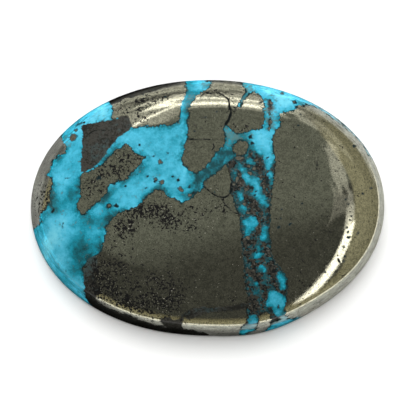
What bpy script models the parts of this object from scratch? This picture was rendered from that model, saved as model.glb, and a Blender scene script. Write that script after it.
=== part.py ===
"""A polished oval cabochon of turquoise in pyrite, lying on its flat back.

The stone is one solid. Its outline is an oval that was ground by hand, so it is a little fuller
at the lower left and beside the bottom, and a little flatter at the right. From the back up it
has a narrow back bevel, a straight girdle wall that leans inwards for a bezel, an edge where the
wall meets the dome, a rounded shoulder and a low crown. Metres, +Z up, +X along the oval, origin
under the middle of the stone on the plane that it rests on.
"""

import math

import bmesh
import bpy

# The oval at the girdle, its widest line
LENGTH = 0.0250
WIDTH = 0.0180
OVAL_POWER = 2.05

# Flat spot and fullness left by hand grinding: direction from the middle, spread, depth
RIGHT_FLAT = (math.radians(-23.0), math.radians(42.0), -0.00015)
LOWER_LEFT_FULL = (math.radians(-132.0), math.radians(50.0), 0.00016)
BOTTOM_FULL = (math.radians(-66.0), math.radians(20.0), 0.00029)

# Puts the origin under the middle of the ground outline
CENTRE_SHIFT_X = 0.00009
CENTRE_SHIFT_Y = 0.00008

# Back bevel and girdle wall
BACK_BEVEL_WIDTH = 0.00035
BACK_BEVEL_HEIGHT = 0.00030
WALL_LEAN = math.radians(12.6)
TOP_LEAN = (math.radians(88.0), math.radians(22.0), math.radians(-5.3))
RIGHT_LEAN = (math.radians(-14.0), math.radians(24.0), math.radians(-2.6))
BOTTOM_LEAN = (math.radians(-100.0), math.radians(55.0), math.radians(1.0))
LEFT_LEAN = (math.radians(165.0), math.radians(18.0), math.radians(4.4))

# Dome: height where its curve would meet the girdle line, then shoulder and crown above that
DOME_FOOT_HEIGHT = 0.00225
SHOULDER_WIDTH = 0.00380
SHOULDER_RISE = 0.00160
SHOULDER_POWER = 2.0
CROWN_RISE = 0.00080

# How finely the surface is divided
SEGMENTS = 112
WALL_RINGS = 2
SHOULDER_RINGS = 9
CROWN_RINGS = 9
CROWN_HUB = 0.10
EDGE_SEARCH_STEPS = 40


def bump(angle, shape):
    """A smooth swelling round one direction, as (direction, spread, size)."""
    centre, spread, size = shape
    turn = math.remainder(angle - centre, math.tau)
    return size * math.exp(-((turn / spread) ** 2))


def oval_point(angle):
    """The girdle line at this angle, as (x, y)."""
    across = math.copysign(abs(math.cos(angle)) ** (2 / OVAL_POWER), math.cos(angle))
    up = math.copysign(abs(math.sin(angle)) ** (2 / OVAL_POWER), math.sin(angle))
    x = LENGTH / 2 * across
    y = WIDTH / 2 * up
    reach = math.hypot(x, y)
    direction = math.atan2(y, x)
    ground = (RIGHT_FLAT, LOWER_LEFT_FULL, BOTTOM_FULL)
    hand_ground = sum(bump(direction, shape) for shape in ground)
    grown = 1 + hand_ground / reach
    return x * grown, y * grown


def inward(angle):
    """The unit vector that points into the stone, square to the girdle line."""
    step = math.radians(0.5)
    x0, y0 = oval_point(angle - step)
    x1, y1 = oval_point(angle + step)
    run = math.hypot(x1 - x0, y1 - y0)
    return -(y1 - y0) / run, (x1 - x0) / run


def inset_point(angle, inset):
    x, y = oval_point(angle)
    nx, ny = inward(angle)
    return x + nx * inset, y + ny * inset


def crown_share(x, y):
    """1 in the middle of the stone, falling to 0 at the girdle line."""
    return 1 - (2 * x / LENGTH) ** 2 - (2 * y / WIDTH) ** 2


def dome_height(inset, x, y):
    left = max(0.0, 1 - inset / SHOULDER_WIDTH)
    shoulder = SHOULDER_RISE * (1 - left**SHOULDER_POWER)
    return DOME_FOOT_HEIGHT + shoulder + CROWN_RISE * crown_share(x, y)


def wall_lean(angle):
    x, y = oval_point(angle)
    direction = math.atan2(y, x)
    varied = (TOP_LEAN, RIGHT_LEAN, BOTTOM_LEAN, LEFT_LEAN)
    return WALL_LEAN + sum(bump(direction, shape) for shape in varied)


def wall_height(angle, inset):
    return BACK_BEVEL_HEIGHT + inset / math.tan(wall_lean(angle))


def edge_inset(angle):
    """How far in from the girdle line the wall meets the dome."""
    low = 0.0
    high = SHOULDER_WIDTH
    for _ in range(EDGE_SEARCH_STEPS):
        middle = (low + high) / 2
        x, y = inset_point(angle, middle)
        if wall_height(angle, middle) < dome_height(middle, x, y):
            low = middle
        else:
            high = middle
    return low


def back_ring(angle):
    x, y = inset_point(angle, BACK_BEVEL_WIDTH)
    return x, y, 0.0


def wall_ring(share):
    def place(angle):
        inset = share * edge_inset(angle)
        x, y = inset_point(angle, inset)
        return x, y, wall_height(angle, inset)

    return place


def shoulder_ring(share):
    def place(angle):
        edge = edge_inset(angle)
        inset = edge + share * (SHOULDER_WIDTH - edge)
        x, y = inset_point(angle, inset)
        return x, y, dome_height(inset, x, y)

    return place


def crown_ring(size):
    """A ring of the crown, whose size is 1 at the shoulder and 0 in the middle."""

    def place(angle):
        x, y = inset_point(angle, SHOULDER_WIDTH)
        x, y = x * size, y * size
        return x, y, dome_height(SHOULDER_WIDTH, x, y)

    return place


def rings():
    """Every ring of the surface, from the back bevel up to the hub of the crown."""
    places = [back_ring, wall_ring(0.0)]
    places += [wall_ring(step / WALL_RINGS) for step in range(1, WALL_RINGS + 1)]
    places += [shoulder_ring(step / SHOULDER_RINGS) for step in range(1, SHOULDER_RINGS + 1)]
    for step in range(1, CROWN_RINGS + 1):
        places.append(crown_ring(1 - (1 - CROWN_HUB) * step / CROWN_RINGS))
    return places


def stone_material():
    material = bpy.data.materials.new("turquoise in pyrite")
    material.use_nodes = True
    shader = material.node_tree.nodes["Principled BSDF"]
    shader.inputs["Base Color"].default_value = (0.16, 0.30, 0.32, 1.0)
    shader.inputs["Roughness"].default_value = 0.22
    shader.inputs["Metallic"].default_value = 0.35
    return material


def open_edges(items):
    """The edges among these items that have a face on one side only."""
    edges = [item for item in items if isinstance(item, bmesh.types.BMEdge)]
    return [edge for edge in edges if edge.is_boundary]


def build_stone():
    shape = bmesh.new()
    angles = [math.tau * step / SEGMENTS for step in range(SEGMENTS)]
    first, *others = rings()

    loop = bmesh.ops.create_circle(shape, segments=SEGMENTS, radius=LENGTH / 2)["verts"]
    for vertex, angle in zip(loop, angles):
        vertex.co = first(angle)
    bmesh.ops.contextual_create(shape, geom=list(shape.edges))

    edges = open_edges(shape.edges)
    for place in others:
        grown = bmesh.ops.extrude_edge_only(shape, edges=edges)["geom"]
        new_loop = [item for item in grown if isinstance(item, bmesh.types.BMVert)]
        edges = open_edges(grown)
        below = {vertex: index for index, vertex in enumerate(loop)}
        ordered = [None] * SEGMENTS
        for vertex in new_loop:
            (under,) = [
                edge.other_vert(vertex)
                for edge in vertex.link_edges
                if edge.other_vert(vertex) in below
            ]
            ordered[below[under]] = vertex
        for vertex, angle in zip(ordered, angles):
            vertex.co = place(angle)
        loop = ordered

    hub = bmesh.ops.contextual_create(shape, geom=edges)["faces"]
    middle = bmesh.ops.poke(shape, faces=hub)["verts"][0]
    middle.co = (0.0, 0.0, dome_height(SHOULDER_WIDTH, 0.0, 0.0))
    shift = (CENTRE_SHIFT_X, CENTRE_SHIFT_Y, 0.0)
    bmesh.ops.translate(shape, verts=list(shape.verts), vec=shift)
    bmesh.ops.recalc_face_normals(shape, faces=list(shape.faces))

    mesh = bpy.data.meshes.new("cabochon")
    shape.to_mesh(mesh)
    shape.free()
    mesh.shade_smooth()
    mesh.set_sharp_from_angle(angle=math.radians(25))
    stone = bpy.data.objects.new("cabochon", mesh)
    stone.data.materials.append(stone_material())
    bpy.context.scene.collection.objects.link(stone)
    return stone


def main():
    for old in list(bpy.data.objects):
        bpy.data.objects.remove(old)
    build_stone()


main()
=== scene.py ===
# A polished oval cabochon of turquoise in pyrite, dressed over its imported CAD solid.
# Lengths are metres unless a name ends in Mm or Px. Px places are on the 416 x 416 photograph.
import math

import bmesh
import bpy
import numpy as np
from mathutils import Matrix, Vector


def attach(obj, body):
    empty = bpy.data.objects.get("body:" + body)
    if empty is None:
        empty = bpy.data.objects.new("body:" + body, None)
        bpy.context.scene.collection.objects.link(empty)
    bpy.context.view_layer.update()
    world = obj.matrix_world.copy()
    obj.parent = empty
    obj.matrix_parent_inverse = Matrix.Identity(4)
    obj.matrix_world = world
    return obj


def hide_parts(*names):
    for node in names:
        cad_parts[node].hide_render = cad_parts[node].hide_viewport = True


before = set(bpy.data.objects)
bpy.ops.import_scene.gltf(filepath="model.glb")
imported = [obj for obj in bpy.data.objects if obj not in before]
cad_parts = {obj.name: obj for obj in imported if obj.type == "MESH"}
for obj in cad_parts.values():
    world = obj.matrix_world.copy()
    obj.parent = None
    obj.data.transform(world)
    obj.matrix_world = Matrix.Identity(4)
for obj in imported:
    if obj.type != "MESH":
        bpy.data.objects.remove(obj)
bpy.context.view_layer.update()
print("frame loaded")

fullTurn = 2 * math.pi

photo = {
    "sizePx": 416,
    "elevation": math.radians(85.0),
    "aim": (0.00003, -0.00019, 0.0023),  # the point in the middle of the frame
    "distance": 0.30,
    "width": 0.02918,  # what the frame spans at that distance
}
pixelMm = photo["width"] / photo["sizePx"] * 1000

stone = {
    "length": 0.0250,
    "width": 0.0180,
    "ovalPower": 2.05,
    "handGround": (
        (math.radians(-23.0), math.radians(42.0), -0.00015),
        (math.radians(-132.0), math.radians(50.0), 0.00016),
        (math.radians(-66.0), math.radians(20.0), 0.00029),
    ),
    "centreShift": (0.00009, 0.00008, 0),
    "bevelWidth": 0.00035,
    "bevelHeight": 0.00030,
    "wallLean": math.radians(12.6),
    "leanChanges": (
        (math.radians(88.0), math.radians(22.0), math.radians(-5.3)),
        (math.radians(-14.0), math.radians(24.0), math.radians(-2.6)),
        (math.radians(-100.0), math.radians(55.0), math.radians(1.0)),
        (math.radians(165.0), math.radians(18.0), math.radians(4.4)),
    ),
    "domeFoot": 0.00225,
    "shoulderWidth": 0.00380,
    "shoulderRise": 0.00160,
    "shoulderPower": 2.0,
    "crownRise": 0.00080,
    "domeCells": (316, 228),
    "backCells": (92, 66),
    "crownShare": 0.70,  # how much of the grid is crown, from the middle out
    "wallShares": (0.91, 0.80, 0.66, 0.52, 0.38, 0.24, 0.10, 0.02),
    "bevelInsets": (0.0, 0.00002, 0.00017, 0.00033, 0.00036, 0.00045, 0.00070),
    "backReach": 0.0011,
}


def swell(angle, shape):
    centre, spread, size = shape
    turn = np.remainder(angle - centre + math.pi, fullTurn) - math.pi
    return size * np.exp(-((turn / spread) ** 2))


def ovalPoint(angle):
    power = 2 / stone["ovalPower"]
    x = stone["length"] / 2 * np.sign(np.cos(angle)) * np.abs(np.cos(angle)) ** power
    y = stone["width"] / 2 * np.sign(np.sin(angle)) * np.abs(np.sin(angle)) ** power
    direction = np.arctan2(y, x)
    grown = 1 + sum(swell(direction, shape) for shape in stone["handGround"]) / np.hypot(x, y)
    return x * grown, y * grown


def insetPoint(angle, inset):
    step = math.radians(0.5)
    x0, y0 = ovalPoint(angle - step)
    x1, y1 = ovalPoint(angle + step)
    run = np.hypot(x1 - x0, y1 - y0)
    x, y = ovalPoint(angle)
    return x - (y1 - y0) / run * inset, y + (x1 - x0) / run * inset


def domeHeight(inset, x, y):
    left = np.maximum(0, 1 - inset / stone["shoulderWidth"])
    shoulder = stone["shoulderRise"] * (1 - left ** stone["shoulderPower"])
    crown = 1 - (2 * x / stone["length"]) ** 2 - (2 * y / stone["width"]) ** 2
    return stone["domeFoot"] + shoulder + stone["crownRise"] * crown


def wallHeight(angle, inset):
    x, y = ovalPoint(angle)
    direction = np.arctan2(y, x)
    lean = stone["wallLean"] + sum(swell(direction, shape) for shape in stone["leanChanges"])
    return stone["bevelHeight"] + inset / np.tan(lean)


def findEdgeInset(angle):
    low = np.zeros_like(angle)
    high = np.full_like(angle, stone["shoulderWidth"])
    for _ in range(34):
        middle = (low + high) / 2
        x, y = insetPoint(angle, middle)
        under = wallHeight(angle, middle) < domeHeight(middle, x, y)
        low = np.where(under, middle, low)
        high = np.where(under, high, middle)
    return low


edgeAngles = np.linspace(0, fullTurn, 1440, endpoint=False)
edgeInsets = findEdgeInset(edgeAngles)


def edgeInset(angle):
    return np.interp(angle, edgeAngles, edgeInsets, period=fullTurn)


def gridToOval(a, b):
    # square rings of the grid become rings of the oval, as an angle and a share of the radius
    wide = np.abs(a) >= np.abs(b)
    reach = np.where(wide, a, b)
    safe = np.where(reach == 0, 1, reach)
    turn = np.where(wide, math.pi / 4 * b / safe, math.pi / 2 - math.pi / 4 * a / safe)
    return turn + np.where(reach < 0, math.pi, 0), np.abs(reach)


def growGrid(shape, cells, height):
    grid = bmesh.ops.create_grid(shape, x_segments=cells[0], y_segments=cells[1], size=1)
    bmesh.ops.translate(shape, verts=grid["verts"], vec=(0, 0, height))
    edges = {edge for vertex in grid["verts"] for edge in vertex.link_edges}
    return [edge for edge in edges if edge.is_boundary]


def buildStoneMesh():
    # the mesh is first a flat-sided block whose height counts the rings, then it is laid on the stone
    shape = bmesh.new()
    rim = growGrid(shape, stone["domeCells"], 0)
    rings = len(stone["wallShares"]) + len(stone["bevelInsets"])
    for _ in range(rings):
        grown = bmesh.ops.extrude_edge_only(shape, edges=rim)["geom"]
        fresh = [item for item in grown if isinstance(item, bmesh.types.BMVert)]
        bmesh.ops.translate(shape, verts=fresh, vec=(0, 0, -1))
        rim = [item for item in grown if isinstance(item, bmesh.types.BMEdge) and item.is_boundary]
    back = growGrid(shape, stone["backCells"], -rings - 1)
    bmesh.ops.bridge_loops(shape, edges=rim + back)
    bmesh.ops.recalc_face_normals(shape, faces=list(shape.faces))
    mesh = bpy.data.meshes.new("stoneBody")
    shape.to_mesh(mesh)
    shape.free()
    return mesh


def layOnStone(grid):
    angle, radius = gridToOval(grid[:, 0], grid[:, 1])
    ring = np.rint(-grid[:, 2]).astype(int)
    edge = edgeInset(angle)
    share = stone["crownShare"]
    inset = edge + np.clip((1 - radius) / (1 - share), 0, 1) * (stone["shoulderWidth"] - edge)
    x, y = insetPoint(angle, inset)
    shrink = np.minimum(radius / share, 1)
    x, y = x * shrink, y * shrink
    z = domeHeight(inset, x, y)
    for step, part in enumerate(stone["wallShares"], 1):
        here = ring == step
        wallInset = part * edge[here]
        x[here], y[here] = insetPoint(angle[here], wallInset)
        z[here] = wallHeight(angle[here], wallInset)
    for step, bevelInset in enumerate(stone["bevelInsets"], len(stone["wallShares"]) + 1):
        here = ring == step
        x[here], y[here] = insetPoint(angle[here], bevelInset)
        z[here] = stone["bevelHeight"] * max(0, 1 - bevelInset / stone["bevelWidth"])
    here = ring == ring.max()
    x[here], y[here] = insetPoint(angle[here], stone["backReach"])
    x[here], y[here], z[here] = x[here] * radius[here], y[here] * radius[here], 0
    fromEdge = np.hypot(*(np.stack(ovalPoint(angle)) - np.stack([x, y])))
    return np.stack([x, y, z], axis=1) + stone["centreShift"], angle, ring, edge, fromEdge


def readVectors(mesh, source, kind="co"):
    values = np.empty(len(source) * 3)
    source.foreach_get(kind, values)
    return values.reshape(-1, 3)


stoneMesh = buildStoneMesh()
stoneLaid = layOnStone(readVectors(stoneMesh, stoneMesh.vertices))
stonePoints, stoneAngle, stoneRing, stoneEdge, fromEdge = stoneLaid
stoneMesh.vertices.foreach_set("co", stonePoints.ravel())
stoneMesh.update()
print("stone shaped:", len(stoneMesh.vertices), "points")


cameraTilt = photo["elevation"]
cameraBack = Vector((0, -math.cos(cameraTilt), math.sin(cameraTilt)))
cameraPlace = Vector(photo["aim"]) + photo["distance"] * cameraBack


def photoPlace(points):
    seen = points - np.array(cameraPlace)
    depth = -seen @ np.array(cameraBack)
    rise = seen @ np.array([0, math.sin(cameraTilt), math.cos(cameraTilt)])
    scale = photo["sizePx"] * photo["distance"] / photo["width"] / depth
    middle = photo["sizePx"] / 2
    return middle + seen[:, 0] * scale, middle - rise * scale


def swirl(points, seed, lengthMm):
    # a smooth random value between about -1 and 1, with waves of roughly this length
    draw = np.random.default_rng(seed)
    total = 0
    for _ in range(7):
        way = draw.normal(size=3)
        way *= fullTurn * 1000 / lengthMm * draw.uniform(0.6, 1.5) / np.linalg.norm(way)
        total = total + np.sin(points @ way + draw.uniform(0, fullTurn))
    return total / 3.5


# below the girdle line nothing is known, so the pattern there drifts away from the face's
picture = {"backDriftPx": 26, "backDriftMm": 7.0, "driftEnd": 0.0016, "reachPx": 12.0}
pictureX, pictureY = photoPlace(stonePoints)
girdleRing = len(stone["wallShares"]) + 1
drift = np.clip(fromEdge / picture["driftEnd"], 0, 1) * (stoneRing > girdleRing)
pictureX += drift * picture["backDriftPx"] * swirl(stonePoints, 3, picture["backDriftMm"])
pictureY += drift * picture["backDriftPx"] * swirl(stonePoints, 4, picture["backDriftMm"])


def curveThrough(corners, closed, steps=3):
    # a smooth curve through the corners, as Catmull and Rom draw it
    points = np.array(corners, float)
    if closed:
        before, start, end, after = (np.roll(points, -shift, axis=0) for shift in (0, 1, 2, 3))
    else:
        padded = np.vstack([2 * points[0] - points[1], points, 2 * points[-1] - points[-2]])
        before, start, end, after = padded[:-3], padded[1:-2], padded[2:-1], padded[3:]
    pieces = []
    for step in range(steps):
        t = step / steps
        square = 2 * before - 5 * start + 4 * end - after
        cube = 3 * start - before - 3 * end + after
        bend = square * t**2 + cube * t**3
        pieces.append(start + 0.5 * ((end - before) * t + bend))
    curve = np.stack(pieces, axis=1).reshape(-1, 2)
    return curve if closed else np.vstack([curve, points[-1]])


def nearPart(curve, margin):
    low, high = curve.min(axis=0) - margin, curve.max(axis=0) + margin
    return (pictureX > low[0]) & (pictureX < high[0]) & (pictureY > low[1]) & (pictureY < high[1])


def gapToCurve(curve, x, y, closed):
    ends = np.roll(curve, -1, axis=0) if closed else curve[1:]
    best = np.full(x.shape, 1e9)
    inside = np.zeros(x.shape, bool)
    for (x0, y0), (x1, y1) in zip(curve, ends):
        dx, dy = x1 - x0, (y1 - y0) or 1e-9
        along = np.clip(((x - x0) * dx + (y - y0) * dy) / (dx * dx + dy * dy), 0, 1)
        best = np.minimum(best, (x - x0 - along * dx) ** 2 + (y - y0 - along * dy) ** 2)
        if closed:
            inside ^= ((y0 > y) != (y1 > y)) & (x < dx * (y - y0) / dy + x0)
    return np.sqrt(best), inside


def insideDepth(outlines):
    # how far inside any of these outlines each point of the mesh lies, in pixels
    reach = picture["reachPx"]
    depth = np.full(pictureX.shape, -reach)
    for corners in outlines:
        curve = curveThrough(corners, closed=True)
        near = nearPart(curve, reach)
        gap, inside = gapToCurve(curve, pictureX[near], pictureY[near], closed=True)
        gap = np.minimum(gap, reach)
        depth[near] = np.maximum(depth[near], np.where(inside, gap, -gap))
    return depth


def lineDepth(lines):
    reach = picture["reachPx"]
    depth = np.full(pictureX.shape, -reach)
    for halfWidth, corners in lines:
        curve = curveThrough(corners, closed=False)
        near = nearPart(curve, reach)
        gap, _ = gapToCurve(curve, pictureX[near], pictureY[near], closed=False)
        depth[near] = np.maximum(depth[near], halfWidth - np.minimum(gap, reach))
    return depth


def placeInSpot(x, y, halfLong, halfShort, turn):
    across, down = pictureX - x, pictureY - y
    cosine, sine = math.cos(math.radians(turn)), math.sin(math.radians(turn))
    return (across * cosine - down * sine) / halfLong, (across * sine + down * cosine) / halfShort


def spotDepth(spots):
    # each spot is its middle, its half length and half width, and the turn of its length in degrees
    depth = np.full(pictureX.shape, -picture["reachPx"])
    for x, y, halfLong, halfShort, turn in spots:
        along, aside = placeInSpot(x, y, halfLong, halfShort, turn)
        depth = np.maximum(depth, (1 - np.hypot(along, aside)) * halfShort)
    return depth


def softSpots(spots):
    # soft patches that add up: middle, half length, half width, turn, strength
    total = np.zeros(pictureX.shape)
    for x, y, halfLong, halfShort, turn, strength in spots:
        along, aside = placeInSpot(x, y, halfLong, halfShort, turn)
        total += strength * np.exp(-(along**2 + aside**2) * 0.9)
    return total


# patches of pyrite, by where they lie on the face. Corners and spots, here and below, are Px places.
pyritePatches = {
    "upperLeft": [
        (113, 119), (113, 109), (113, 99), (135, 91), (155, 85), (175, 79), (185, 80), (185.2, 95),
        (180.5, 108), (179, 119), (172, 124), (164, 124), (157, 126.5), (144, 126), (134, 128), (131, 125),
        (128, 118), (120, 117.5),
    ],
    "slantBar": [
        (126, 144.5), (131, 149), (136, 154.5), (144.5, 157.5), (141, 163), (136, 168.5), (130, 173.5),
        (124, 179.5), (115, 182.5), (107, 186), (106.5, 191), (100, 199), (94, 204), (90, 209), (84, 214),
        (79, 210), (78, 204), (81, 197), (80, 185), (81.5, 175), (93, 170), (104, 163), (112, 155.5),
        (118, 149.5),
    ],
    "leftEdge": [
        (62, 139), (65.5, 150), (58, 156), (53, 160), (50.5, 168), (48, 175), (52.5, 180), (50.5, 188),
        (49, 198), (45.5, 209), (41, 214), (40, 221), (36, 227), (20, 229), (12, 180), (36, 134), (52, 126),
    ],
    "lowerLeft": [
        (202, 190), (196, 194), (190, 200), (181, 203), (175, 199), (166, 196), (163, 191.5),
        (157, 190.5), (151, 194), (144, 200.5), (138, 206), (130, 209.5), (120, 213), (110, 221),
        (106, 229), (104.5, 240), (100, 252), (92, 258.5), (86, 263), (83.5, 270), (87, 282), (92, 294),
        (96, 304), (105, 322), (130, 345), (180, 356), (225, 352), (237, 338), (241, 328), (247, 320),
        (246, 305), (247, 298), (245, 280), (244, 262), (241.5, 243), (240.5, 227), (238.5, 216),
        (236, 206), (232, 197), (230, 191), (219, 193.5), (207, 186.5),
    ],
    "smallTriangle": [
        (225, 165), (228.5, 169), (230, 178), (230.5, 190), (226, 196), (219, 195.5), (209, 189),
        (202, 184), (209, 178), (219, 171.5),
    ],
    "upperMiddle": [
        (210, 70), (240, 70), (241, 84), (246, 92), (242, 97), (237.5, 105), (233, 111), (231, 118),
        (226, 123.5), (223, 129), (225.5, 137), (223, 145), (213.5, 155.5), (208.5, 163.5), (200, 170.5),
        (196.5, 173), (185, 166), (182.5, 160), (184.5, 148), (187.5, 137), (188.5, 128), (187.5, 121),
        (189, 109), (193.5, 100.5), (201.5, 93), (209, 88), (212, 82),
    ],
    "upperRound": [
        (248, 95), (254, 92.8), (260, 95.5), (264, 104), (263.5, 114), (263.5, 124), (258.5, 129),
        (250, 130.5), (241, 133.5), (233, 131), (227.5, 125), (228, 115), (232, 109), (240, 106),
    ],
    "smallRound": [
        (232.3, 148), (235, 143), (240.5, 140.7), (246, 141.5), (248.3, 146), (247, 151.5), (243, 155.5),
        (236, 155),
    ],
    "rightField": [
        (281, 113), (292, 111.5), (300, 105), (310, 105), (322, 111), (334, 119), (346, 128), (357, 138),
        (363, 145), (372, 159), (400, 170), (400, 290), (340, 318), (304, 316), (294, 318.5), (286, 316),
        (286, 300), (287.5, 281), (283, 271), (275, 262), (270.5, 245), (270, 213), (272.5, 188),
        (275.5, 168), (275, 153), (272, 139), (275, 131.5), (280, 126), (280.3, 118),
    ],
    "bottomWall": [
        (259, 316), (263, 312), (268, 314), (271, 322), (266, 330), (256, 335), (249, 334), (257, 328),
    ],
}

# dark matrix. The bands along the top wall, the bottom wall and the bottom-left wall are painted shade
matrixAndWallShadePatches = {
    "upperLeft": [
        (83, 124.5), (92, 123), (100, 120.8), (113, 119.5), (125, 115), (130, 121), (131, 128.5),
        (119, 137), (110, 148), (101, 160), (92, 168.5), (82, 172.5), (80.5, 168), (82.5, 150), (82, 135),
    ],
    "topEdgePaintedShade": [
        (112, 105), (117.4, 102.4), (126.8, 98.6), (133, 97.4), (145.5, 93), (151.8, 91.4), (164.3, 87.7),
        (176.8, 84.3), (184, 82.6), (187, 79), (180, 74), (140, 82), (112, 95), (109, 102),
    ],
    "topMiddlePaintedShade": [(206, 82.0), (214, 81.6), (224, 81.6), (234, 82.2), (243, 83.4), (243, 76), (206, 76)],
    "bottomMiddlePaintedShade": [
        (160, 318), (167, 317), (175, 320), (182, 316), (183, 320), (182, 327), (190, 329.5), (207, 333.5),
        (206, 338), (186, 338), (168, 329), (161, 323),
    ],
    "bottomLens": [
        (182, 316), (188, 310.5), (196, 308), (203, 306), (212, 307), (225, 306.5), (240, 303.5),
        (248, 303.5), (247, 308), (235, 310.5), (222, 312), (210, 312), (200, 315.5), (190, 319),
    ],
    # its part along the bottom-left wall is painted shade
    "lowerLeft": [
        (92, 257), (96, 257), (98, 266), (95, 275), (98, 284), (100, 292), (96, 299), (104, 304.5),
        (118, 311.5), (131, 315.5), (147, 322), (162, 326), (185, 331), (200, 335), (185, 345),
        (120, 335), (88, 303), (84, 285), (84.5, 267), (88, 260),
    ],
}

# the granular vein and the slabs of turquoise that float in it
veinPatches = [
    [
        (229, 162), (240, 157), (245, 155), (250, 149.5), (257, 152.5), (263, 158), (267, 169),
        (271, 166), (280, 161), (281, 172), (278, 188), (276, 208), (276, 246), (280, 260), (291, 272),
        (293, 284), (291, 318), (270, 326), (256, 332), (238, 335), (240, 322), (241, 298), (239, 280),
        (237, 256), (235, 227), (232, 208), (227, 197), (226, 184), (225, 172),
    ],
    [(267.5, 100), (271, 99.5), (272, 106), (270.5, 112), (268, 108)],
    [(268.5, 118), (271, 117), (270.5, 126), (268, 127)],
]
tealChannel = [
    (195, 173), (206, 169), (213, 159), (219, 152), (224, 148.5), (232, 149.5), (238, 151), (243, 157.5),
    (236, 159), (228, 158.5), (221, 165), (212, 173.5), (204, 180), (198, 189), (194, 188), (194.5, 180),
]
floatingSlabs = [
    [(252, 134), (262, 128), (276, 133), (279, 146), (280, 158), (274.5, 163), (269, 169.5), (266, 168),
     (263.5, 158.5), (256, 152.5), (250, 149), (249, 141)],
    [(237.5, 163), (242, 165), (245.7, 168.6), (248.6, 173), (254, 176), (259, 179.3), (262, 187),
     (265, 196), (268.8, 203), (267.5, 207), (262, 205.7), (255.7, 200), (251, 195.7), (250, 192.5),
     (253.6, 190), (251, 185.7), (245.7, 183), (242.5, 178.6), (241.4, 173.6), (238, 168.6)],
    [(267.4, 173.6), (272.9, 171.5), (273.5, 180), (270.7, 188.6), (268.5, 184.3), (269.5, 179)],
    [(243.6, 153.5), (247, 152.5), (251, 158), (255, 163), (251, 166), (246, 162)],
    [(236, 191), (240.7, 191.7), (243.8, 198), (240.7, 200.7), (237.5, 197)],
    [(240, 206), (246, 204.5), (246, 212), (241, 214.5), (238.5, 210)],
    [(232, 172.5), (236.5, 172.5), (236.5, 180), (233.5, 181.5)],
    [(250, 216.8), (256.4, 218.6), (257.2, 225.7), (251.4, 231.6), (246.4, 236.6), (244.3, 231.4),
     (245, 225.7), (242.4, 221.4), (246, 219)],
    [(261.4, 226.8), (268.6, 227), (269.2, 240), (265, 241.9), (260, 238.8), (261.7, 232.9)],
    [(259.3, 246.2), (262, 251), (264.6, 254.3), (260.7, 256.6), (256.4, 258.8), (253.4, 254.3),
     (256.4, 251)],
    [(260, 265), (265, 266.5), (264, 271.5), (259, 270.5)],
    [(280, 271.2), (285, 273.4), (286.9, 278.6), (285, 290.2), (281.2, 290), (279.3, 283), (276.8, 280)],
    [(270, 291), (279, 293), (286, 297), (286, 312), (283, 318), (276, 316), (272, 309), (266.5, 304),
     (268, 295)],
    [(249, 316.5), (256, 316), (258.5, 321), (255, 328), (246, 333), (236, 337), (238, 330.5), (247, 324)],
    [(292, 315), (283, 318.5), (272, 324.5), (264, 331), (272, 333), (300, 322), (306, 315)],
    [(254, 282), (258, 283), (257, 287), (254, 286)],
    [(255, 289), (259, 290), (258, 293.5), (255, 293)],
]

# cracks: half width and the line
crackLines = [
    (0.75, [(187, 139), (199, 139.5), (210, 139.5)]),
    (0.95, [(219, 93), (226, 97), (229, 101), (229.7, 108), (231, 110), (230.5, 115), (229, 119),
            (225, 124)]),
    (1.5, [(230.5, 114.5), (229, 119), (226.5, 122.5)]),
    (0.5, [(229.7, 107), (233, 106.5), (236, 108.5)]),
    (0.5, [(230.5, 113), (234, 111.5), (236, 109)]),
    (0.6, [(201, 96), (206, 92.5), (211, 93.5), (216, 91.5), (222, 94), (226, 92)]),
    (0.5, [(208, 97), (213, 95.5), (219, 96.5)]),
    (0.9, [(203, 186), (208, 190), (212, 193), (218, 196.6), (224, 197.4), (228, 195.5), (231, 191),
           (231, 184)]),
    (0.6, [(221, 198), (225, 204), (230, 209), (234, 212.5), (238, 213.5)]),
    (0.8, [(194, 124), (196.5, 127.5)]),
    (0.7, [(212, 150), (214, 147), (213, 144)]),
    (1.0, [(338, 259), (340, 262)]),
    (0.6, [(317, 161), (317, 169)]),
    (0.5, [(89, 134), (93, 131), (100, 130), (106, 130.5)]),
]

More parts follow.
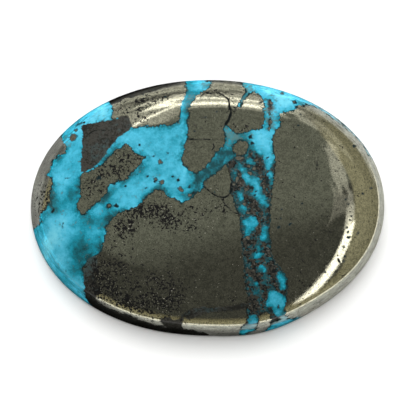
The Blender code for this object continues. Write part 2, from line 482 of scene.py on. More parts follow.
# small dark pits
darkSpots = [
    (153.5, 156, 1.7, 1.4, 0), (155.5, 181, 2.6, 1.6, 70), (146, 188, 1, 1, 0), (148, 176, 0.8, 0.8, 0),
    (137.5, 174.5, 0.9, 0.7, 0), (125.5, 186, 1.1, 0.9, 0), (139.5, 145, 1.8, 1.3, 20),
    (168.5, 153, 1.2, 0.8, 0), (172.5, 176.5, 1, 0.8, 0), (178.5, 180.5, 1, 0.9, 0),
    (164.5, 188.5, 1.2, 1, 0), (193, 193, 1.6, 1.1, 0), (99, 178, 2.8, 2.2, 20), (317, 165, 1.4, 1.4, 0),
    (306, 176, 1.1, 1, 0), (302, 203.5, 1.2, 1, 0), (300.5, 114.5, 1.3, 1.1, 0),
    (298, 125.5, 1.6, 0.9, 0), (354.5, 146, 1.4, 1.1, 0), (371, 188, 1.2, 1, 0),
    (359, 193.5, 1.1, 0.9, 0), (362.5, 193.5, 1.2, 1, 0), (346, 199, 1.1, 1, 0), (348.5, 204, 1.2, 1, 0),
    (358, 233, 1.9, 1.2, 70), (344, 247, 1.3, 1.1, 0), (348, 232, 1.3, 1.1, 0), (348.5, 237, 1.4, 1.2, 0),
    (347, 227.5, 1.1, 1, 0), (352, 230, 1, 0.9, 0), (351.5, 216, 1.2, 1, 0), (350, 220, 1, 0.9, 0),
    (345, 256.5, 1.4, 1, 0), (343.5, 261, 1.2, 1, 0), (324.5, 272, 1.4, 1.2, 0),
    (281.5, 209.5, 1.2, 1, 0), (280.5, 218.5, 1.2, 1, 0), (279, 227, 2, 1.5, 0), (290, 224.5, 2, 1.2, 40),
    (242, 120.5, 1.2, 1, 0), (260.5, 102.5, 1.9, 1.1, 30), (262.5, 111, 1.2, 1.1, 0),
    (195, 131, 1.3, 1, 0), (201, 128, 1, 0.9, 0), (217, 111.5, 1.3, 1, 0), (205, 117.5, 4, 0.8, 0),
    (166, 97, 2, 1.6, 0), (250, 137, 2.3, 2, 0), (252, 143, 2, 1.6, 0), (267.5, 157.5, 1.5, 1.4, 0),
    (251.5, 187.5, 2.4, 1.4, 0), (255.5, 191.5, 1.3, 1, 0), (255, 195, 1.2, 1, 0),
    (252.5, 158, 2, 1.5, 0), (267.5, 180, 3.5, 1.4, 80), (269, 215.5, 1.8, 1.4, 0), (257, 253, 1.1, 1, 0),
    (261, 252, 1, 0.9, 0), (296, 107, 1.6, 1.2, 0), (303.5, 106, 2.4, 2, 0), (294.5, 102.5, 2.2, 1.9, 0),
    (68, 178, 2.2, 1, 0), (84, 122.5, 1.2, 1, 0), (79, 124, 3.6, 1.0, 30), (189, 187.5, 1.5, 0.9, 60),
    (231.5, 189, 3, 1.2, 85), (66, 271, 1.1, 1, 0), (53, 211, 1.6, 0.7, 60), (63.2, 223.5, 2.4, 0.7, 70),
    (108.5, 206, 2.6, 2.4, 0), (116.5, 206, 2.6, 2.2, 0), (278.5, 306, 2, 1.2, 80),
    (271, 310.5, 2.4, 1.6, 20),
]

# brown and tan grains
brownSpots = [
    (73, 138, 3.9, 3, 20), (160, 161.5, 2.0, 1.8, 0), (162.5, 182, 2.4, 1.8, 20),
    (155.5, 179.5, 1.6, 1.3, 0), (190, 195, 1.6, 1.3, 0), (181, 189.5, 3.2, 1.2, -40),
    (270.5, 103, 2, 1.6, 0), (269.5, 114, 1.4, 1.2, 0), (270.5, 122, 1.5, 1.8, 0),
    (282, 93.5, 1.6, 1.3, 0), (294.5, 102.5, 1.3, 1.1, 0), (269.5, 129, 1.8, 1.4, 80),
    (108.5, 206, 1.5, 1.4, 0), (264.5, 186.5, 1.8, 1.2, 80), (234, 184.5, 1.6, 1.3, 0),
    (245, 204.5, 1.8, 1.4, 0), (267, 193, 1.6, 1.3, 0), (278.5, 306, 1.5, 0.9, 80),
    (249, 166, 2.2, 1.6, 0), (255, 168.5, 2.4, 1.8, 0), (250, 173, 2.2, 1.5, 0), (76, 130, 1.4, 1.2, 0),
    (237.5, 178, 4.5, 1.2, 75), (248, 213, 2, 1.4, 0), (239, 158, 4, 2, 0), (256, 160, 2.4, 2, 0),
    (246, 189, 2, 1.4, 0), (248, 238, 2, 1.6, 0),
]

# turquoise: above zero turns to dark teal, below zero to pale sky blue. The pale spots on the left shoulder,
# at the upper left and at the upper right are painted highlights, standing in for softbox reflections
tealAndPaintedHighlightSpots = [
    (73, 194, 8, 13, 0, 0.55), (55, 203, 9, 11, 30, 0.85), (90, 221, 9, 6, 0, 0.7),
    (83, 249, 17, 18, 20, 0.58), (75, 256, 8, 17, -10, 0.62), (82, 246, 8, 8, 0, 0.2),
    (100, 238, 6, 14, 0, 0.2), (104, 196, 7, 9, 30, 0.7), (208, 309, 8, 2.5, 3, 0.35),
    (141, 246, 5, 3, 0, 0.3), (108, 214, 8, 7, 40, 0.6), (80, 271, 6, 11, -60, 0.38),
    (160, 191, 9, 5, 0, 0.6), (126, 181, 20, 4, 42, 0.45), (118, 214, 14, 4, 35, 0.35),
    (146, 160, 7, 5, 30, 0.2), (152, 127, 22, 4, 0, 0.22), (104, 190, 8, 9, 40, 0.2),
    (188, 196, 9, 5, 0, 0.55), (196, 184, 8, 8, 0, 0.5), (210, 172, 16, 8, 40, 0.7),
    (228, 153, 8, 5, 0, 0.6), (238, 136, 12, 10, 0, 0.35), (101, 152, 9, 13, 40, 0.30),
    (68, 270, 8, 8, 0, 0.15), (150, 171, 20, 12, 10, 0.28), (252, 161, 10, 11, 0, 0.45),
    (188, 120, 3, 30, 0, 0.2), (243, 98, 5, 8, -20, 0.5), (190, 105, 5, 12, 0, 0.5),
    (193, 92, 6, 8, 0, 0.35), (103, 112, 10, 8, 20, -0.7), (100, 213, 5, 5, 0, -0.3),
    (60, 195, 6, 6, 0, -0.3), (62, 223, 13, 10, 0, -0.2), (69, 180, 10, 18, 0, -0.15),
    (66, 262, 14, 40, -28, -0.22), (48, 248, 8, 30, -25, -0.55), (280, 97, 22, 9, -25, -0.6),
    (199, 87, 6, 6, 0, -0.15), (135, 190, 14, 7, 30, -0.05), (262, 142, 7, 11, 0, -0.40),
    (254, 184, 8, 8, 0, 0.26), (275, 300, 8, 9, 0, 0.1), (265, 234, 6, 8, 0, 0.38),
    (250, 226, 8, 10, 0, 0.42), (262, 198, 8, 8, 0, 0.16), (259, 252, 6, 7, 0, 0.42),
    (261, 269, 5, 5, 0, 0.3), (240, 196, 5, 6, 0, 0.35), (239, 166, 4, 5, 0, 0.3),
    (256, 287, 5, 8, 0, 0.45), (283, 280, 5, 10, 0, 0.15), (242, 210, 5, 6, 0, 0.8),
    (234, 177, 4, 6, 0, 0.6),
]

# where turquoise is murky, grey green
murkSpots = [
    (235, 136, 12, 9, 0, 0.75), (178, 115, 4, 10, 0, 0.7), (244, 100, 6, 10, 0, 0.3),
    (88, 294, 8, 8, 0, 0.6), (250, 135, 5, 6, 0, 0.5), (228, 126, 7, 9, 0, 0.6),
    (272, 120, 5, 14, 0, 0.5), (66, 142, 8, 8, 0, 0.5), (60, 215, 6, 6, 0, 0.25),
    (188, 198, 10, 3, 0, 0.3), (258, 320, 10, 8, 0, 0.2), (94, 118, 12, 4, 10, 0.4),
    (208, 84, 8, 5, 0, 0.75), (250, 87, 13, 7, 20, 0.7), (190, 92, 6, 10, 0, 0.35),
    (269, 114, 5, 17, 0, 0.85), (243, 98, 5, 9, -20, 0.5), (189, 105, 5, 12, 0, 0.45),
]

# how thickly pyrite is peppered with black
pepperSpots = [
    (145, 100, 12, 5, 10, 1.05), (136, 113, 7, 7, 0, 0.60), (122, 108, 10, 6, 20, 0.65),
    (165, 96, 12, 4, 15, 0.40), (130, 158, 15, 8, 40, 0.35), (90, 192, 9, 13, 40, 0.35),
    (163, 285, 18, 24, 0, 0.25), (138, 205, 12, 9, 0, 0.3), (150, 116, 18, 6, 20, 0.45),
    (112, 170, 34, 14, 40, 0.62), (125, 226, 15, 15, 0, 0.9), (150, 210, 14, 8, 0, 0.85),
    (167, 219, 14, 13, 0, 0.8), (194, 218, 18, 16, 0, 0.55), (222, 206, 10, 9, 0, 0.35),
    (116, 278, 17, 26, 0, 0.80), (150, 283, 14, 14, 0, 0.55), (176, 293, 14, 18, 0, 0.60),
    (145, 303, 34, 9, -12, 0.7), (240, 129, 10, 5, 0, 0.5), (232, 164, 5, 7, 0, 0.5),
    (98, 280, 8, 22, 0, 0.8), (225, 300, 18, 8, 0, 0.35), (137, 312, 26, 5, -22, 0.6),
    (300, 284, 10, 18, 0, 0.25), (312, 235, 18, 18, 0, 0.3), (211, 90, 11, 3, 0, 0.55),
    (48, 197, 5, 18, 10, 0.75), (38, 203, 6, 20, 10, 0.62), (330, 300, 30, 12, 30, 0.2),
    (232, 100, 4, 10, 0, 0.5), (261, 101, 4, 6, 0, 0.7),
]


def storeOnPoints(name, values):
    layer = stoneMesh.attributes.new(name, "FLOAT", "POINT")
    layer.data.foreach_set("value", np.asarray(values, np.float32))


slabDepth = insideDepth(floatingSlabs)
pyriteDepth = insideDepth(pyritePatches.values())
matrixAndWallShadeDepth = insideDepth(matrixAndWallShadePatches.values())
veinDepth = np.minimum(insideDepth(veinPatches), -slabDepth)
channelDepth = insideDepth([tealChannel])
crackDepth = lineDepth(crackLines)
darkDepth = spotDepth(darkSpots)
brownDepth = spotDepth(brownSpots)

# the girdle wall. Besides its ground rims, its colour carries painted light and shade, set by the way each
# side faces
wall = {
    "ways": (0, 30, 50, 75, 90, 115, 150, 200, 240, 255, 270, 290, 330),  # degrees round the stone
    # painted light and shade: how bright the wall is painted at each of those directions
    "light": (1, 0.95, 0.8, 0.45, 0.36, 0.34, 0.36, 0.42, 0.85, 1.3, 1.4, 1.2, 1),
    # a painted patch of light on the left wall
    "paintedLightSpots": [(39, 196, 8, 20, 10, 0.75)],
    "dullRims": (  # where the grinding runs over the edge: direction, spread, width
        (math.radians(172.0), math.radians(34.0), 0.0002),
        (math.radians(90.0), math.radians(26.0), 0.00024),
        (math.radians(42.0), math.radians(24.0), 0.00022),
    ),
    "dullRimGain": 1.6,
    "leftGround": [
        (52, 126), (62, 139), (65.5, 150), (58, 156), (53, 160), (50.5, 168), (49, 178), (46, 190),
        (42.5, 205), (38, 226), (28, 226), (28, 140),
    ],
    # painted shade low on the wall, along the underside and at the bottom
    "underSide": (math.radians(-112.0), math.radians(42.0), 1.15),
    "underShade": 0.86,
    "bottomSide": (math.radians(-84.0), math.radians(26.0), 1.0),
    "bottomShade": 0.85,
}
onWall = (stoneRing > 0) * 1.0
for way, spread, width in wall["dullRims"]:
    side = np.clip(swell(stoneAngle, (way, spread, wall["dullRimGain"])), 0, 1)
    onWall = np.maximum(onWall, side * np.clip(1.5 - (fromEdge - stoneEdge) / width, 0, 1))
onWall = np.maximum(onWall, np.clip(insideDepth([wall["leftGround"]]) + 0.5, 0, 1))
riseByRing = np.array([1.0, *stone["wallShares"], *(0.0 for _ in stone["bevelInsets"]), 0.0, 0.0])
wallRise = riseByRing[np.minimum(stoneRing, len(riseByRing) - 1)]
# painted shade low on the wall towards the bottom
underShade = wall["underShade"] * np.clip(swell(stoneAngle, wall["underSide"]), 0, 1)
underShade = underShade * np.clip((0.92 - wallRise) / 0.5, 0, 1)
bottomShade = wall["bottomShade"] * swell(stoneAngle, wall["bottomSide"])
bottomShade = bottomShade * np.clip((0.60 - wallRise) / 0.3, 0, 1)
# the wall's painted light and shade, stored for its colour
wallPaintedLightAndShade = np.interp(np.degrees(stoneAngle), wall["ways"], wall["light"], period=360)
wallPaintedLightAndShade = wallPaintedLightAndShade * (1 + softSpots(wall["paintedLightSpots"])) * (1 - np.maximum(underShade, bottomShade))

storeOnPoints("pyriteMm", pyriteDepth * pixelMm)
storeOnPoints("matrixAndWallShadeMm", matrixAndWallShadeDepth * pixelMm)
storeOnPoints("veinMm", veinDepth * pixelMm)
storeOnPoints("channelMm", channelDepth * pixelMm)
storeOnPoints("crackMm", crackDepth * pixelMm)
storeOnPoints("darkMm", darkDepth * pixelMm)
storeOnPoints("brownMm", brownDepth * pixelMm)
# the stored teal value also carries painted highlights, as its pale spots
storeOnPoints("teal", softSpots(tealAndPaintedHighlightSpots))
storeOnPoints("pepper", softSpots(pepperSpots))
storeOnPoints("murk", softSpots(murkSpots))
storeOnPoints("ground", onWall)
storeOnPoints("wallPaintedLightAndShade", wallPaintedLightAndShade)
storeOnPoints("wallRise", wallRise)
print("pattern laid on the stone")

relief = {"crack": 0.000014, "pit": 0.000008, "softStone": 0.000003, "handPolish": 0.0000012, "polishMm": 3.2}


def carveRelief():
    # cracks and pits are cut in, and softer turquoise lies a little below the pyrite
    normals = readVectors(stoneMesh, stoneMesh.vertex_normals, "vector")
    cut = relief["crack"] * np.clip((crackDepth - 0.2) / 0.8, 0, 1)
    cut += relief["pit"] * np.clip((darkDepth - 0.9) / 1.5, 0, 1)
    cut += relief["softStone"] * np.clip(0.2 - pyriteDepth / 3.0, 0, 1)
    cut += relief["handPolish"] * (1 + swirl(stonePoints, 11, relief["polishMm"]))
    cut *= np.where(stoneRing > girdleRing, 0, 1)
    stoneMesh.vertices.foreach_set("co", (stonePoints - normals * cut[:, None]).ravel())
    stoneMesh.update()


carveRelief()
for polygon in stoneMesh.polygons:
    polygon.use_smooth = True
cabochon = bpy.data.objects.new("polishedStone", stoneMesh)
bpy.context.scene.collection.objects.link(cabochon)
print("relief carved")


# short ways to write nodes
class NodeBench:
    def __init__(self, tree):
        self.tree = tree
        tree.nodes.clear()

    def add(self, kind, values=None, **settings):
        made = self.tree.nodes.new(kind)
        for name, value in settings.items():
            setattr(made, name, value)
        for name, value in (values or {}).items():
            self.plug(value, made.inputs[name])
        return made

    def plug(self, value, socket):
        if isinstance(value, bpy.types.NodeSocket):
            self.tree.links.new(value, socket)
        elif value is not None:
            socket.default_value = value

    def sum(self, operation, *values, clamp=False):
        made = self.add("ShaderNodeMath", operation=operation, use_clamp=clamp)
        for value, socket in zip(values, made.inputs):
            self.plug(value, socket)
        return made.outputs[0]

    def step(self, value, low, high):
        # 0 below low, 1 above high, smooth between
        made = self.add("ShaderNodeMapRange", interpolation_type="SMOOTHSTEP")
        for value, name in ((value, "Value"), (low, "From Min"), (high, "From Max")):
            self.plug(value, made.inputs[name])
        return made.outputs[0]

    def mix(self, factor, low, high, blend="MIX"):
        made = self.add("ShaderNodeMix", data_type="RGBA", blend_type=blend, clamp_factor=True)
        for value, socket in ((factor, made.inputs[0]), (low, made.inputs[6]), (high, made.inputs[7])):
            self.plug(value, socket)
        return made.outputs[2]

    def blendValue(self, factor, low, high):
        made = self.add("ShaderNodeMix", data_type="FLOAT", clamp_factor=True)
        for value, socket in ((factor, made.inputs[0]), (low, made.inputs[2]), (high, made.inputs[3])):
            self.plug(value, socket)
        return made.outputs[0]

    def ramp(self, value, stops):
        made = self.add("ShaderNodeValToRGB", {"Fac": value})
        points = made.color_ramp.elements
        while len(points) < len(stops):
            points.new(0.5)
        for point, (place, colour) in zip(points, stops):
            point.position = place
            point.color = (*colour, 1)
        return made.outputs[0]

    def stored(self, name):
        return self.add("ShaderNodeAttribute", attribute_name=name, attribute_type="GEOMETRY").outputs["Fac"]

    def moved(self, place, offset, stretch=(1, 1, 1)):
        made = self.add("ShaderNodeMapping", {"Vector": place, "Location": offset, "Scale": stretch})
        return made.outputs[0]

    def noise(self, place, scale, detail=2.0, rough=0.5, warp=0.0):
        values = {"Vector": place, "Scale": scale, "Detail": detail, "Roughness": rough, "Distortion": warp}
        return self.add("ShaderNodeTexNoise", values).outputs[0]


mineral = {
    "pyrite": (0.76, 0.725, 0.55, 1),
    "pyriteShade": (0.46, 0.445, 0.335, 1),
    "pyriteGround": (0.46, 0.47, 0.41, 1),
    "groundShade": (0.33, 0.325, 0.27, 1),
    "pyriteRough": 0.05,
    "stoneRough": 0.40,
    "groundRough": 0.5,
    "coatRough": 0.12,
    "groundMetal": 0.55,
    "pale": (0.16, 0.60, 0.75),
    "light": (0.068, 0.458, 0.640),
    "sky": (0.034, 0.350, 0.490),
    "deep": (0.010, 0.250, 0.345),
    "teal": (0.009, 0.140, 0.180),
    "darkTeal": (0.008, 0.055, 0.065),
    "murk": (0.090, 0.195, 0.200, 1),
    "outline": (0.012, 0.030, 0.032, 1),
    "pit": (0.010, 0.020, 0.022, 1),
    "crack": (0.007, 0.009, 0.009, 1),
    "chalkInPaintedLight": (0.40, 0.50, 0.50, 1),
    "black": (0.011, 0.011, 0.011, 1),
    "matrixDark": (0.018, 0.018, 0.015, 1),
    "matrixGrey": (0.047, 0.045, 0.039, 1),
    "matrixTeal": (0.044, 0.076, 0.077, 1),
    "grainDark": (0.008, 0.010, 0.010, 1),
    "grainOlive": (0.042, 0.039, 0.031, 1),
    "grainTeal": (0.011, 0.082, 0.098, 1),
    "grainPale": (0.105, 0.100, 0.085, 1),
    "brown": (0.070, 0.062, 0.045, 1),
    "glint": (0.27, 0.26, 0.21, 1),
    "tan": (0.115, 0.108, 0.084, 1),
    "edgeWobbleMm": 0.030,
    "edgeFineMm": 0.021,
    "polishGrainMm": 0.0001,
    "gloss": 0.9,
    "indexOfRefraction": 1.5,
}


def finishTurquoiseInPyrite():
    material = bpy.data.materials.new("turquoiseInPyrite")
    material.use_nodes = True
    bench = NodeBench(material.node_tree)
    place = bench.add("ShaderNodeTexCoord").outputs["Object"]
    mm = bench.moved(place, (0, 0, 0), (1000, 1000, 1000))

    def wave(offset, scale, detail=3, rough=0.6, warp=0, stretch=(1, 1, 1)):
        # a cloud that keeps mostly between -1 and 1, seldom past 2
        moved = bench.moved(mm, (offset * 7.3, offset * 3.1, offset * 5.7), stretch)
        return bench.sum("MULTIPLY_ADD", bench.noise(moved, scale, detail, rough, warp), 14.0, -7.0)

    def scaled(value, size, base):
        return bench.sum("MULTIPLY_ADD", value, size, base)

    def either(first, second):
        return bench.sum("MAXIMUM", first, second)

    def both(first, second):
        return bench.sum("MULTIPLY", first, second)

    broad = wave(1, 0.55)
    middle = wave(2, 2.2)
    fine = wave(3, 6.0)
    dust = wave(4, 14.0, 2)
    wobble = scaled(middle, mineral["edgeWobbleMm"], both(fine, mineral["edgeFineMm"]))
    teal = bench.stored("teal")
    ground = bench.stored("ground")
    rise = bench.stored("wallRise")

    # turquoise: soft clouds from pale sky blue to dark teal, darker beside the other minerals; the stored
    # teal value also brings painted highlights as pale spots
    pyriteGap = bench.sum("ADD", bench.stored("pyriteMm"), wobble)
    matrixAndWallShadeGap = bench.sum("ADD", bench.stored("matrixAndWallShadeMm"), wobble)
    veinGap = scaled(middle, 0.032, scaled(fine, 0.015, bench.stored("veinMm")))
    channel = bench.step(scaled(wobble, 1.0, bench.stored("channelMm")), -0.22, 0.20)
    tone = scaled(teal, 0.5, 0.40)
    tone = scaled(wave(5, 0.9, 4, 0.6, 0.6), 0.048, tone)
    tone = scaled(middle, 0.036, tone)
    tone = scaled(broad, 0.030, tone)
    tone = scaled(fine, 0.018, tone)
    tone = scaled(dust, 0.013, tone)
    halo = both(bench.step(pyriteGap, -0.52, 0.03), bench.step(wave(14, 0.8), -1.6, 1.0))
    tone = scaled(halo, 0.33, tone)
    tone = scaled(bench.step(veinGap, -0.36, 0.05), 0.26, tone)
    tone = bench.blendValue(channel, tone, scaled(scaled(fine, 0.7, middle), 0.055, 0.92))
    turquoise = bench.ramp(
        tone,
        [
            (0.02, mineral["pale"]),
            (0.28, mineral["light"]),
            (0.46, mineral["sky"]),
            (0.60, mineral["deep"]),
            (0.76, mineral["teal"]),
            (0.95, mineral["darkTeal"]),
        ],
    )
    murk = scaled(middle, 0.22, scaled(fine, 0.18, bench.stored("murk")))
    murk = both(bench.step(murk, 0.35, 1.05), bench.blendValue(channel, 0.75, 0.0))
    turquoise = bench.mix(murk, turquoise, mineral["murk"])

    # dark matrix, in its own patches; the same colour paints shade along the top and bottom walls
    matrixMix = scaled(broad, 0.5, both(scaled(dust, 0.6, fine), 0.6))
    matrix = bench.mix(bench.step(matrixMix, -1.2, 1.2), mineral["matrixDark"], mineral["matrixGrey"])
    tealVeil = bench.step(scaled(fine, 0.06, scaled(middle, 0.08, teal)), 0.04, 0.60)
    matrix = bench.mix(tealVeil, matrix, mineral["matrixTeal"])

    # the vein is a mass of small grains, teal, brown, grey and black
    grains = bench.mix(bench.step(wave(6, 4.6), -1.2, 1.4), mineral["grainDark"], mineral["grainOlive"])
    tealGrains = scaled(wave(10, 2.2), 1.0, scaled(fine, 0.35, both(teal, 2.4)))
    tealShare = bench.blendValue(bench.step(wave(17, 8.0, 2), -0.9, 0.9), 0.35, 1.0)
    grains = bench.mix(both(bench.step(tealGrains, 0.2, 1.1), tealShare), grains, mineral["grainTeal"])
    grains = bench.mix(bench.step(wave(11, 7.5), 1.4, 1.9), grains, mineral["grainPale"])

    # pyrite: mirror bright, peppered with black
    pepper = scaled(wave(8, 1.5), 0.40, scaled(bench.stored("pepper"), 3.0, wave(7, 6.0, 3, 0.6, 0.3)))
    pepper = either(bench.step(pepper, 2.35, 2.60), bench.step(wave(9, 9.5, 2), 2.4, 2.75))
    glint = bench.step(scaled(bench.stored("pepper"), 0.8, wave(16, 8.0, 2)), 2.90, 3.30)
    brassTone = scaled(middle, 0.5, scaled(fine, 0.6, dust))
    brass = bench.mix(bench.step(brassTone, -1.7, 1.7), mineral["pyriteShade"], mineral["pyrite"])

    pyriteMask = bench.step(pyriteGap, -0.04, 0.04)
    matrixAndWallShadeMask = bench.step(matrixAndWallShadeGap, -0.05, 0.05)
    veinMask = bench.step(veinGap, -0.07, 0.07)
    crackMask = bench.step(scaled(wobble, 0.4, bench.stored("crackMm")), -0.03, 0.02)
    darkMask = bench.step(scaled(wobble, 0.7, bench.stored("darkMm")), -0.05, 0.04)
    brownGap = scaled(wobble, 0.8, bench.stored("brownMm"))
    brownMask = bench.step(brownGap, 0.0, 0.05)
    darkMask = either(darkMask, both(bench.step(brownGap, -0.06, -0.01), 0.8))
    outline = bench.step(bench.sum("ABSOLUTE", bench.sum("ADD", pyriteGap, 0.01)), 0.085, 0.03)
    outline = both(outline, bench.step(wave(12, 1.6), -0.6, 0.4))

    # the ground wall is brushed along its length. Its colour carries painted light and shade: by the way it
    # faces, darker towards the girdle and a painted highlight towards its top edge
    brushed = scaled(wave(13, 0.9, 3, 0.7, 0, (1, 1, 14)), 0.17, scaled(wave(15, 1.8, 4), 0.10, 1.0))
    # painted light and shade on the wall, times the brushed streaks
    wallPaintedLightAndShade = both(bench.stored("wallPaintedLightAndShade"), brushed)
    groundTone = bench.step(brassTone, -1.5, 1.5)
    groundPyrite = bench.mix(groundTone, mineral["groundShade"], mineral["pyriteGround"])
    groundPyrite = bench.mix(1.0, groundPyrite, wallPaintedLightAndShade, "MULTIPLY")
    # turquoise on the wall: painted shade towards the girdle, a painted highlight higher up, times the
    # brushed streaks
    wallTurquoiseLightAndShade = both(bench.blendValue(bench.step(rise, 0.0, 0.30), 0.60, 1.28), brushed)
    # ground turquoise turns chalky pale only where the wall's painted light is strong
    chalkInPaintedLight = both(bench.step(bench.stored("wallPaintedLightAndShade"), 0.62, 0.95), 0.66)
    turquoiseChalkedInPaintedLight = bench.mix(chalkInPaintedLight, turquoise, mineral["chalkInPaintedLight"])
    turquoise = bench.mix(ground, turquoise, bench.mix(1.0, turquoiseChalkedInPaintedLight, wallTurquoiseLightAndShade, "MULTIPLY"))
    # matrix on the wall darkens towards the girdle: painted shade
    matrix = bench.mix(1.0, matrix, bench.blendValue(bench.step(rise, 0.2, 0.98), 0.22, 1.0), "MULTIPLY")

    colour = bench.mix(veinMask, turquoise, grains)
    colour = bench.mix(pyriteMask, colour, bench.mix(ground, brass, groundPyrite))
    colour = bench.mix(outline, colour, mineral["outline"])
    colour = bench.mix(matrixAndWallShadeMask, colour, matrix)
    pepper = both(pepper, either(pyriteMask, either(matrixAndWallShadeMask, both(veinMask, 0.8))))
    colour = bench.mix(pepper, colour, mineral["black"])
    glint = both(both(glint, pyriteMask), bench.step(matrixAndWallShadeGap, 0.05, 0.0))
    colour = bench.mix(glint, colour, mineral["glint"])
    colour = bench.mix(darkMask, colour, mineral["pit"])
    brownTone = bench.mix(bench.step(fine, -1, 1), mineral["brown"], mineral["tan"])
    colour = bench.mix(brownMask, colour, brownTone)
    colour = bench.mix(crackMask, colour, mineral["crack"])

    covered = pepper
    for mask in (glint, darkMask, brownMask, crackMask, outline):
        covered = either(covered, mask)
    # metal reaches a little past its colour, because a border that is half metal shines pale
    metal = both(bench.step(pyriteGap, -0.07, -0.03), bench.step(matrixAndWallShadeGap, 0.05, 0.0))
    metal = both(metal, bench.step(covered, 1.0, 0.5))
    metallic = both(metal, bench.blendValue(ground, 1.0, mineral["groundMetal"]))
    metalRough = scaled(fine, 0.015, mineral["pyriteRough"])
    rough = bench.blendValue(bench.step(metal, 0.0, 0.15), mineral["stoneRough"], metalRough)
    rough = bench.blendValue(ground, rough, mineral["groundRough"])
    polished = bench.sum("SUBTRACT", 1.0, either(metal, bench.step(covered, 0.5, 1.0)))
    polished = both(polished, bench.blendValue(ground, mineral["gloss"], 0.0))
    polished = both(polished, bench.blendValue(matrixAndWallShadeMask, 1.0, 0.5))

    grain = scaled(fine, 0.8, dust)
    grainHeight = mineral["polishGrainMm"] / 1000
    bump = bench.add("ShaderNodeBump", {"Height": grain, "Strength": 1.0, "Distance": grainHeight})
    shader = bench.add(
        "ShaderNodeBsdfPrincipled",
        {
            "Base Color": colour,
            "Metallic": metallic,
            "Roughness": rough,
            "Normal": bump.outputs[0],
            "Specular IOR Level": 0.0,
            "Coat Weight": polished,
            "Coat Roughness": mineral["coatRough"],
            "Coat IOR": mineral["indexOfRefraction"],
        },
    )
    bench.add("ShaderNodeOutputMaterial", {"Surface": shader.outputs[0]})
    return material


cabochon.data.materials.append(finishTurquoiseInPyrite())
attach(cabochon, "root")
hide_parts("cabochon")
print("stone finished")


table = {"reach": 0.9, "colour": (0.90, 0.90, 0.90, 1), "pale": (0.92, 0.92, 0.92, 1), "glow": 0.08}


def layTable():
    shape = bmesh.new()
    bmesh.ops.create_grid(shape, x_segments=4, y_segments=4, size=table["reach"])
    mesh = bpy.data.meshes.new("whiteTable")
    shape.to_mesh(mesh)
    shape.free()
    floor = bpy.data.objects.new("whiteTable", mesh)
    bpy.context.scene.collection.objects.link(floor)
    material = bpy.data.materials.new("whiteTable")
    material.use_nodes = True
    bench = NodeBench(material.node_tree)
    place = bench.add("ShaderNodeTexCoord").outputs["Object"]
    tone = bench.noise(place, 6.0, 2)
    colour = bench.mix(tone, table["colour"], table["pale"])
    values = {"Base Color": colour, "Roughness": 0.9, "Specular IOR Level": 0.1}
    values |= {"Emission Color": (1, 1, 1, 1), "Emission Strength": table["glow"]}
    shader = bench.add("ShaderNodeBsdfPrincipled", values)
    bench.add("ShaderNodeOutputMaterial", {"Surface": shader.outputs[0]})
    floor.data.materials.append(material)


layTable()

# Softboxes hang level. Their places and sizes are shares of the hanging height, read from what the
# face mirrors.
studio = {
    "height": 0.25,
    "tubeLift": 1.05,
    "boxes": {
        # middle x and y, direction of the length, length, width, brightness
        "rightSoftbox": ((1.53, -1.58), (0.26, -0.966), 2.75, 0.43, 1.62),
        "softboxInner": ((1.11, -0.42), (0.20, -0.98), 0.64, 0.22, 1.00),
        "softboxTop": ((1.06, -0.08), (0.20, -0.98), 0.30, 0.44, 0.50),
        "zone": ((0.87, 0.78), (0.535, 0.845), 1.42, 0.22, 0.235),
        "zoneWedge": ((0.84, 0.56), (0.21, 0.98), 0.62, 0.36, 0.235),
        "zoneLow": ((1.00, 0.08), (0.20, 0.98), 0.40, 0.26, 0.25),
        "zoneFoot": ((0.68, 0.08), (1.0, 0.0), 0.80, 0.20, 0.12),
        "zoneTop": ((1.14, 2.18), (0.28, 0.96), 0.84, 0.30, 0.24),
        "zoneHigh": ((1.45, 3.50), (0.44, 0.90), 2.40, 0.42, 0.34),
        "zoneRim": ((1.85, 2.40), (0.10, 1.0), 2.20, 0.60, 0.10),
        "rightTube": ((1.33, 2.16), (0.073, 1.0), 1.78, 0.040, 0.28),
        "rearHigh": ((0.15, 2.87), (1.0, 0.12), 1.40, 0.36, 1.40),
        "rearAbove": ((0.40, 3.75), (1.0, 0.30), 1.40, 0.95, 0.34),
        "rearBetween": ((0.20, 2.44), (1.0, 0.16), 1.10, 0.50, 0.48),
        "rearLow": ((0.22, 1.95), (1.0, 0.28), 0.92, 0.36, 1.38),
        "rearFade": ((0.22, 1.64), (1.0, 0.28), 0.92, 0.30, 0.26),
        "rearLeft": ((-0.435, 2.26), (1.0, 0.0), 0.32, 0.82, 1.50),
        "rearFaint": ((-0.62, 3.22), (1.0, 0.0), 0.80, 0.86, 0.74),
        "rearSoft": ((-0.46, 1.35), (0.0, 1.0), 1.30, 0.62, 0.26),
        "rearWest": ((-1.48, 3.30), (-0.37, 0.93), 3.40, 0.64, 0.16),
        "rearEnd": ((-0.45, 4.15), (1.0, -0.3), 0.36, 0.44, 1.00),
        "rearLine": ((0.75, 4.90), (1.0, 0.0), 0.70, 0.90, 0.25),
        "rearTube": ((-0.299, 1.50), (0.16, 0.987), 1.20, 0.036, 1.90),
    },
    "fill": {"azimuth": 95, "zenith": 24, "distance": 0.8, "size": 0.55, "brightness": 6.0},
}


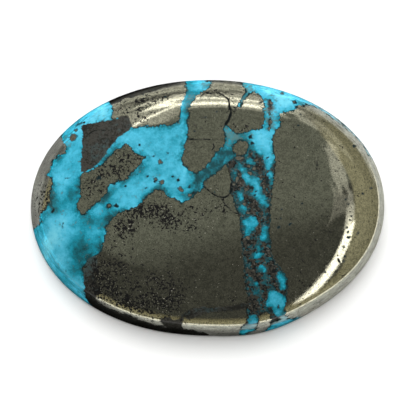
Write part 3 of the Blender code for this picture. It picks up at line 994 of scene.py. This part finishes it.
def hangSoftbox(name, middle, along, facing, length, width, radiance, mirrored=True):
    light = bpy.data.lights.new(name, "AREA")
    light.shape = "RECTANGLE"
    light.size = length
    light.size_y = width
    light.energy = radiance * 4 * length * width
    box = bpy.data.objects.new(name, light)
    zAxis = Vector(facing).normalized()
    xAxis = (Vector(along) - zAxis.dot(Vector(along)) * zAxis).normalized()
    turn = Matrix((xAxis, zAxis.cross(xAxis), zAxis)).transposed().to_4x4()
    box.matrix_world = Matrix.Translation(Vector(middle)) @ turn
    box.visible_camera = False
    box.visible_glossy = mirrored
    bpy.context.scene.collection.objects.link(box)


def lightStone():
    height = studio["height"]
    for name, ((x, y), (alongX, alongY), length, width, radiance) in studio["boxes"].items():
        # a tube hangs a little above the boxes, so that both are mirrored where they cross
        away = height * (studio["tubeLift"] if name.endswith("Tube") else 1)
        middle = (x * away, y * away, away)
        hangSoftbox(name, middle, (alongX, alongY, 0), (0, 0, 1), length * away, width * away, radiance)
    fill = studio["fill"]
    around, down = math.radians(fill["azimuth"]), math.radians(fill["zenith"])
    way = Vector((math.sin(down) * math.cos(around), math.sin(down) * math.sin(around), math.cos(down)))
    middle, size = way * fill["distance"], fill["size"]
    hangSoftbox("fill", middle, (1, 0, 0), way, size, size, fill["brightness"], mirrored=False)


lightStone()


# what the polished face mirrors: dark towards the viewer, lighter behind, warm and brighter low down
room = {
    "overheadFront": (0.066, 0.069, 0.066, 1),
    "overheadBack": (0.158, 0.171, 0.161, 1),
    "sideLow": (0.22, 0.215, 0.16, 1),
    "sideHigh": (0.34, 0.33, 0.25, 1),
    "frontLow": (0.36, 0.35, 0.27, 1),
    "frontHigh": (0.24, 0.22, 0.14, 1),
    "rearByHeight": ((0, 0.40), (0.085, 0.44), (0.10, 0.66), (0.12, 0.62), (0.14, 0.20), (0.26, 0.20)),
    "rearTint": (0.97, 1.0, 0.98),
    "paper": (1.0, 1.0, 1.0, 1),
}


def hangBackdrop():
    world = bpy.data.worlds.new("studio")
    bpy.context.scene.world = world
    world.use_nodes = True
    bench = NodeBench(world.node_tree)
    way = bench.add("ShaderNodeTexCoord").outputs["Generated"]
    parts = bench.add("ShaderNodeSeparateXYZ", {"Vector": way}).outputs
    slant = bench.sum("MULTIPLY_ADD", parts["X"], -0.46, parts["Y"])
    overhead = bench.mix(bench.step(slant, -0.10, 0.035), room["overheadFront"], room["overheadBack"])
    side = bench.mix(bench.step(parts["Z"], 0.0, 0.5), room["sideLow"], room["sideHigh"])
    front = bench.mix(bench.step(parts["Z"], 0.18, 0.30), room["frontLow"], room["frontHigh"])
    tint = room["rearTint"]
    rearStops = [(place, [part * tone for part in tint]) for place, tone in room["rearByHeight"]]
    rear = bench.ramp(parts["Z"], rearStops)
    behind = bench.sum("MULTIPLY", bench.step(parts["Y"], 0.2, 0.5), bench.step(parts["X"], 0.62, 0.36))
    lowRear = bench.blendValue(behind, 0.64, 0.26)
    lowest = bench.blendValue(bench.step(parts["Y"], -0.7, -0.25), 0.31, lowRear)
    low = bench.step(bench.sum("SUBTRACT", lowest, parts["Z"]), -0.02, 0.05)
    horizon = bench.mix(bench.step(parts["Y"], -0.5, -0.8), side, front)
    horizon = bench.mix(behind, horizon, rear)
    seen = bench.mix(low, overhead, horizon)
    camera = bench.add("ShaderNodeLightPath").outputs["Is Camera Ray"]
    colour = bench.mix(camera, seen, room["paper"])
    back = bench.add("ShaderNodeBackground", {"Color": colour, "Strength": 1.0})
    bench.add("ShaderNodeOutputWorld", {"Surface": back.outputs[0]})


hangBackdrop()


def placeCamera():
    lens = bpy.data.cameras.new("camera")
    lens.sensor_width = 36
    lens.lens = 36 * photo["distance"] / photo["width"]
    lens.clip_start = 0.01
    lens.clip_end = 10
    camera = bpy.data.objects.new("camera", lens)
    turn = cameraBack.to_track_quat("Z", "Y").to_matrix().to_4x4()
    camera.matrix_world = Matrix.Translation(cameraPlace) @ turn
    bpy.context.scene.collection.objects.link(camera)
    bpy.context.scene.camera = camera


placeCamera()
bpy.context.scene.view_settings.view_transform = "Standard"
bpy.context.scene.view_settings.look = "None"
bpy.context.view_layer.update()
print("scene ready")
